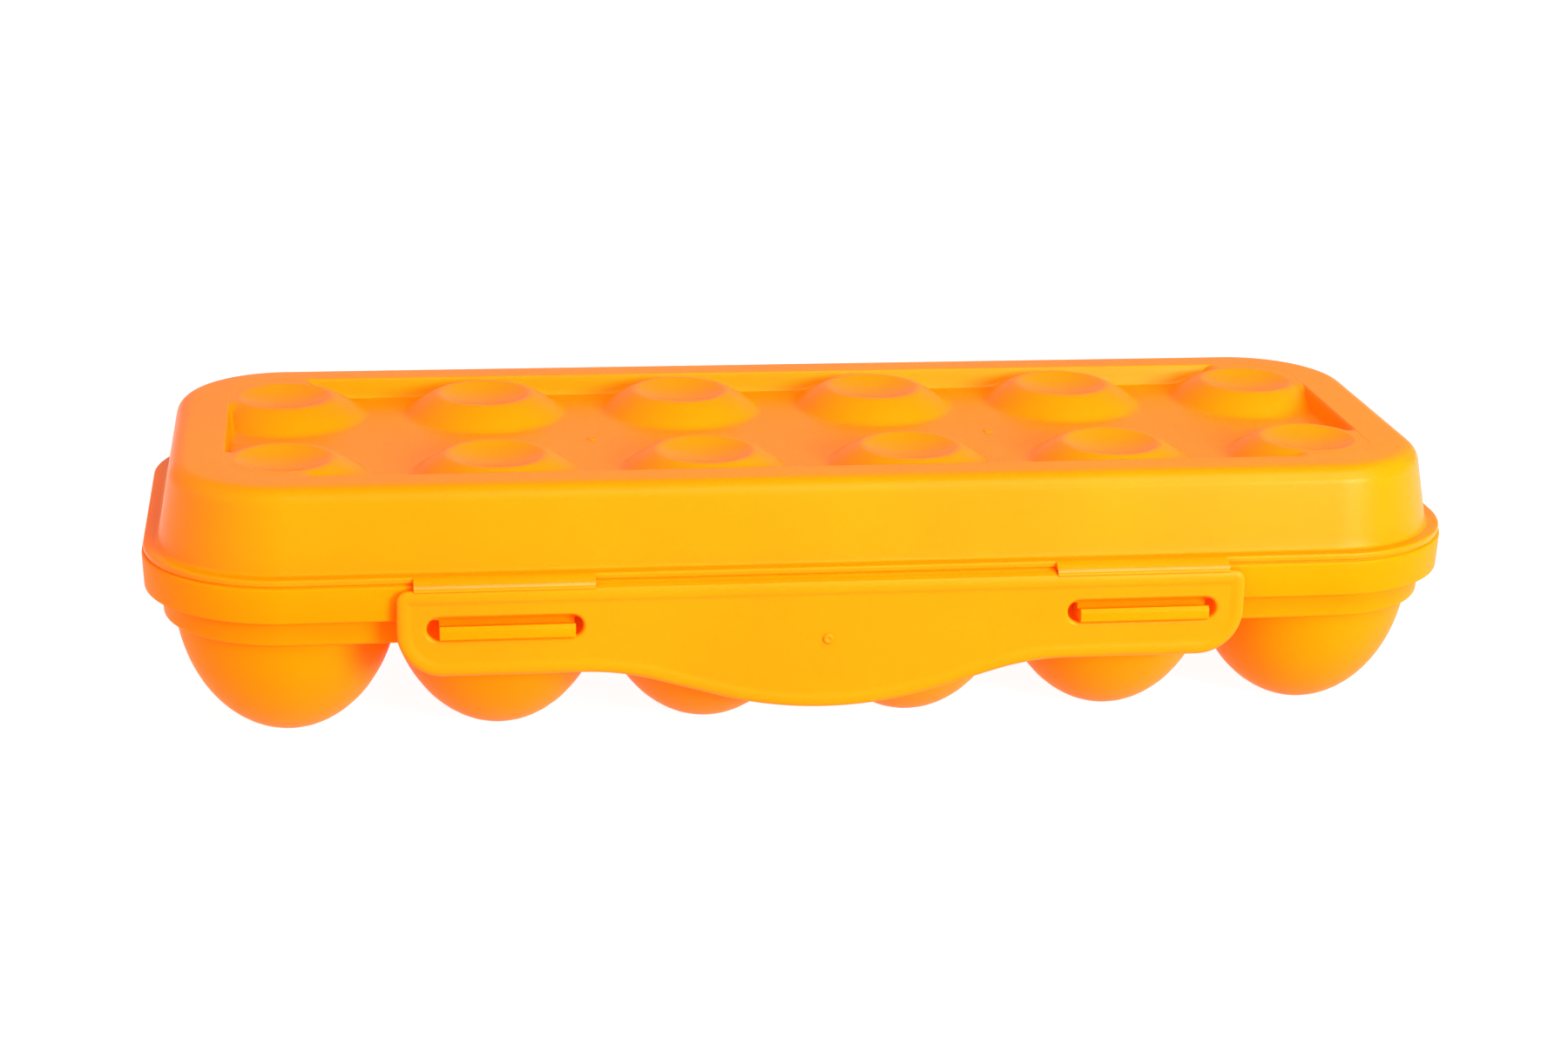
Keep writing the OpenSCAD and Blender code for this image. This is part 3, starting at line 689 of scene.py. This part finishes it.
def makeFilms():
    s = film
    flangeY = -(keeper["rowAxis"] + lid["flange"])
    seat, flangeTop = lid["seat"], lid["seat"] + lid["flangeThickness"]
    front = s["y"] - s["landFront"]
    tipTop, tipLow, tipIn = s["landTip"]
    land = [(flangeY + s["land"][0][0], seat)]
    land += [(flangeY + dy, flangeTop + dz) for dy, dz in s["land"]]
    land += [(front, s["z"] + tipTop), (front + tipIn, s["z"] + tipLow),
             (flangeY - s["landIn"], s["z"] + tipLow), (flangeY - s["landIn"], seat)]
    rise = np.linspace(s["up"], -s["down"], 13)
    waist = s["web"] / 2 + s["flare"] * (rise / s["up"]) ** 2
    web = np.vstack([np.column_stack([s["y"] - waist, s["z"] + rise]),
                     np.column_stack([s["y"] + waist, s["z"] + rise])[::-1]])
    shoulder = [(s["y"] - dy, s["z"] + dz) for dy, dz in s["shoulder"]]
    shoulder += [(s["y"] + dy, s["z"] + dz) for dy, dz in s["shoulder"][::-1]]
    for side, label in bothSides:
        middle = side * flap["slotAt"]
        start, end = middle - s["half"], middle + s["half"]
        prism(f"film_land_{label}", land, start, end, onLid, 0.12)
        prism(f"flap_shoulder_{label}", shoulder, start, end, onFlap, 0.05)
        piece = prism(f"film_web_{label}", web, start, end, filmOnly, 0)
        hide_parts(f"film_hinge_{label}")
        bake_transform(piece)


flapPiece = makeFlap()
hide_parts("front_flap")
reach = flap["slotAt"] - film["half"] - flap["ledgeGap"]
prism("flap_ledge", flap["ledge"], -reach, reach, onFlap, 0.05)

hinge = {
    "y": 61.5, "z": 44.9, "pin": 1.1, "gap": 0.05, "clip": 2.1, "length": 24.0,
    "armIn": 1.5,                           # how far the clip's arm starts inside the flange
    "mouth": 0.825, "mouthTurn": -70,       # the clip's opening: half its width, and its turn
    "cheek": 2.4, "cheekGap": 0.3, "cheekFrom": -45, "pinIn": 1,
    "foot": 5.0, "footCut": 0.3, "reachIn": 3.1,
}


def makeHinges():
    s, flange = hinge, lid["flange"] + keeper["rowAxis"]
    ny, nz, turn, bore = s["y"], s["z"], s["mouthTurn"], s["pin"] + s["gap"]
    seat, flangeTop = lid["seat"], lid["seat"] + lid["flangeThickness"]
    mouthOut = math.degrees(math.asin(s["mouth"] / s["clip"]))
    mouthIn = math.degrees(math.asin(s["mouth"] / bore))
    overArm = 180 - math.degrees(math.asin((flangeTop - nz) / s["clip"]))
    underArm = 180 - math.degrees(math.asin((seat - nz) / s["clip"]))
    clip = np.vstack([
        [(flange - s["armIn"], seat), (flange - s["armIn"], flangeTop)],
        arc(ny, nz, s["clip"], overArm, turn + mouthOut, 16),
        arc(ny, nz, bore, turn + mouthIn, turn + 360 - mouthIn, 22),
        arc(ny, nz, s["clip"], turn + 360 - mouthOut, underArm, 10)])
    cheek = np.vstack([
        arc(ny, nz, s["clip"], s["cheekFrom"], 180, 20),
        [(ny - s["reachIn"], nz), (ny - s["reachIn"], nz - s["foot"]),
         (ny - s["clip"] - s["footCut"], nz - s["foot"])]])
    pin = arc(ny, nz, s["pin"], 0, 360, 32)[:-1]
    half = s["length"] / 2
    cheekIn = half + s["cheekGap"]
    cheekOut = cheekIn + s["cheek"]
    for side, label in bothSides:
        middle = side * flap["slotAt"]
        prism(f"hinge_clip_{label}", clip, middle - half, middle + half, onLid, 0.15)
        prism(f"hinge_pin_{label}", pin, middle - cheekIn - s["pinIn"],
              middle + cheekIn + s["pinIn"], onTray, 0.1)
        for end in (-1, 1):
            place = "outer" if end == side else "inner"
            start, stop = sorted((middle + end * cheekIn, middle + end * cheekOut))
            prism(f"hinge_cheek_{label}_{place}", cheek, start, stop, onTray, 0.25)


catch = {
    "half": 15.3, "aside": 0.5,       # the bars sit a little to the right in the slots
    "bottom": 32.55, "height": 3.3, "front": -62.4, "root": -54.2,
    "round": 0.6, "steep": 1.6,       # the nose, over which the slot snaps
    "fall": 1.1, "run": 3.2,          # its top falls away to the rear, over this length
    "neckDrop": 0.2, "neckFoot": 0.7,
}


def makeCatches():
    s = catch
    top, r = s["bottom"] + s["height"], s["round"]
    rear = top - s["fall"]
    bar = [(s["root"], s["bottom"]), (s["front"] + r / 2, s["bottom"]),
           (s["front"], s["bottom"] + r / 2), (s["front"], top - s["steep"] * r),
           (s["front"] + r, top), (s["front"] + s["run"], rear), (s["root"], rear)]
    neckY = -(keeper["rowAxis"] + tray["rim"] - tray["rimRound"])
    neckLow, neckTop = tray["ledge"] + s["neckFoot"], rear - s["neckDrop"]
    neck = [(neckY, neckTop), (s["root"], neckTop), (s["root"], neckLow), (neckY, neckLow)]
    for side, label in bothSides:
        middle = side * flap["slotAt"] + s["aside"]
        start, end = middle - s["half"], middle + s["half"]
        prism(f"catch_bar_{label}", bar, start, end, onTray, 0.3)
        prism(f"catch_neck_{label}", neck, start, end, onTray, 0.2)


# The nipped-off stub of a gate, where the melt came in: a low ring with a dimple
gate = {
    "radii": [0, 0.35, 0.6, 0.85, 1.05, 1.2, 1.35],
    "levels": [0.12, 0.15, 0.28, 0.3, 0.2, 0.05, -0.2],
    "turn": 12,     # degrees from one spoke to the next
}


def makeGate(name, centre, moulding, facingFront=False):
    angle = np.radians(np.arange(0, 360, gate["turn"]))
    sheet = newSheet()
    grid = np.array([np.column_stack([r * np.cos(angle), r * np.sin(angle),
                                      np.full(len(angle), z)])
                     for r, z in zip(gate["radii"], gate["levels"])])
    addGrid(sheet, grid, closed=True)
    points, faces = sewn(sheet)
    last = (len(grid) - 1) * len(angle)
    faces = faces.tolist() + [[last + i for i in range(len(angle))]]
    if facingFront:
        points = points[:, (0, 2, 1)] * (1, -1, 1)
    return makePiece(name, points + centre, faces, moulding)


makeHinges()
makeCatches()
makeFilms()
panelLevel = lid["top"] - lid["depth"]
for side, label in bothSides:
    makeGate(f"panel_gate_{label}", (side * keeper["pitch"], 0, panelLevel), onLid)
makeGate("flap_gate", (0, flap["back"] - flap["thickness"], flap["gateZ"]), onFlap,
         facingFront=True)

studio = {
    "floorHalf": 6.0, "floorColour": "#626262", "floorGlow": 0.95,
    "floorRoughness": 0.9, "floorSpecular": 0.1,
    "sky": 0.24,
    "walls": {    # azimuth and elevation in degrees, how narrow, strength
        "backWall": (180, 8, 6.0, 0.34),
        "leftWall": (-80, 12, 3.0, 1.2),
        "frontWall": (-35, 15, 1.0, 0.55),
    },
    "target": (0.0, 0.0, 0.04), "distance": 1.6,    # metres
    "lights": {   # azimuth and elevation in degrees, size in metres, watts
        "keyBox": (35, 15, (0.6, 0.4), 40.0),
        "highBox": (35, 50, (1.3, 0.9), 29.0),
    },
}


def direction(azimuth, elevation):
    # Azimuth 0 is in front of the object and 90 on its right
    a, e = math.radians(azimuth), math.radians(elevation)
    return Vector((math.sin(a) * math.cos(e), -math.cos(a) * math.cos(e), math.sin(e)))


def makeFloor():
    # Matt paint under even light: plain white, with no highlight and hardly a shadow
    s = studio
    half = s["floorHalf"]
    mesh = bpy.data.meshes.new("pale_floor")
    mesh.from_pydata([(-half, -half, 0), (half, -half, 0), (half, half, 0), (-half, half, 0)],
                     [], [(0, 1, 2, 3)])
    floor = bpy.data.objects.new("pale_floor", mesh)
    bpy.context.scene.collection.objects.link(floor)
    paint = bpy.data.materials.new("paleMattPaint")
    paint.use_nodes = True
    shader = paint.node_tree.nodes["Principled BSDF"]
    shader.inputs["Base Color"].default_value = toLinear(s["floorColour"])
    shader.inputs["Roughness"].default_value = s["floorRoughness"]
    shader.inputs["Specular IOR Level"].default_value = s["floorSpecular"]
    shader.inputs["Emission Color"].default_value = (1, 1, 1, 1)
    shader.inputs["Emission Strength"].default_value = s["floorGlow"]
    mesh.materials.append(paint)


def makeSky():
    # An even white sky, brighter towards each wall of the studio
    world = bpy.data.worlds.new("whiteStudio")
    bpy.context.scene.world = world
    world.use_nodes = True
    tree = world.node_tree
    sky = tree.nodes["Background"]
    sky.inputs["Color"].default_value = (1, 1, 1, 1)
    way = addNode(tree, "ShaderNodeTexCoord").outputs["Generated"]
    light = None
    for azimuth, elevation, narrow, strength in studio["walls"].values():
        facing = addNode(tree, "ShaderNodeVectorMath",
            {"operation": "DOT_PRODUCT", 1: direction(azimuth, elevation)}, {0: way})
        ahead = addNode(tree, "ShaderNodeMath", {"operation": "MAXIMUM", 1: 0.0},
            {0: facing.outputs["Value"]})
        wall = addNode(tree, "ShaderNodeMath", {"operation": "POWER", 1: narrow},
            {0: ahead.outputs[0]})
        links = {0: wall.outputs[0], 2: light} if light else {0: wall.outputs[0]}
        light = addNode(tree, "ShaderNodeMath",
            {"operation": "MULTIPLY_ADD", 1: strength, 2: studio["sky"]}, links).outputs[0]
    tree.links.new(light, sky.inputs["Strength"])


def makeLights():
    target = Vector(studio["target"])
    for name, (azimuth, elevation, size, power) in studio["lights"].items():
        lamp = bpy.data.lights.new(name, "AREA")
        lamp.shape, lamp.size, lamp.size_y = "RECTANGLE", *size
        lamp.energy = power
        box = bpy.data.objects.new(name, lamp)
        bpy.context.scene.collection.objects.link(box)
        way = direction(azimuth, elevation)
        box.location = target + studio["distance"] * way
        box.rotation_euler = (-way).to_track_quat("-Z", "Y").to_euler()


# Fitted to the photograph: the dished bosses, the cups and the rim fix the view
photoView = {
    "sensor": 36.0, "lens": 70.093, "near": 0.05, "far": 30.0,
    "place": (-0.111044, -0.709170, 0.271393), "turn": (71.98187, -1.319995, -8.366243),
}


def makeCamera():
    s = photoView
    view = bpy.data.cameras.new("photoView")
    view.sensor_width, view.lens = s["sensor"], s["lens"]
    view.clip_start, view.clip_end = s["near"], s["far"]
    camera = bpy.data.objects.new("photoView", view)
    bpy.context.scene.collection.objects.link(camera)
    camera.location = s["place"]
    camera.rotation_euler = [math.radians(a) for a in s["turn"]]
    bpy.context.scene.camera = camera


makeFloor()
makeSky()
makeLights()
makeCamera()
bpy.context.scene.view_settings.view_transform = "Standard"
print("studio and camera made")
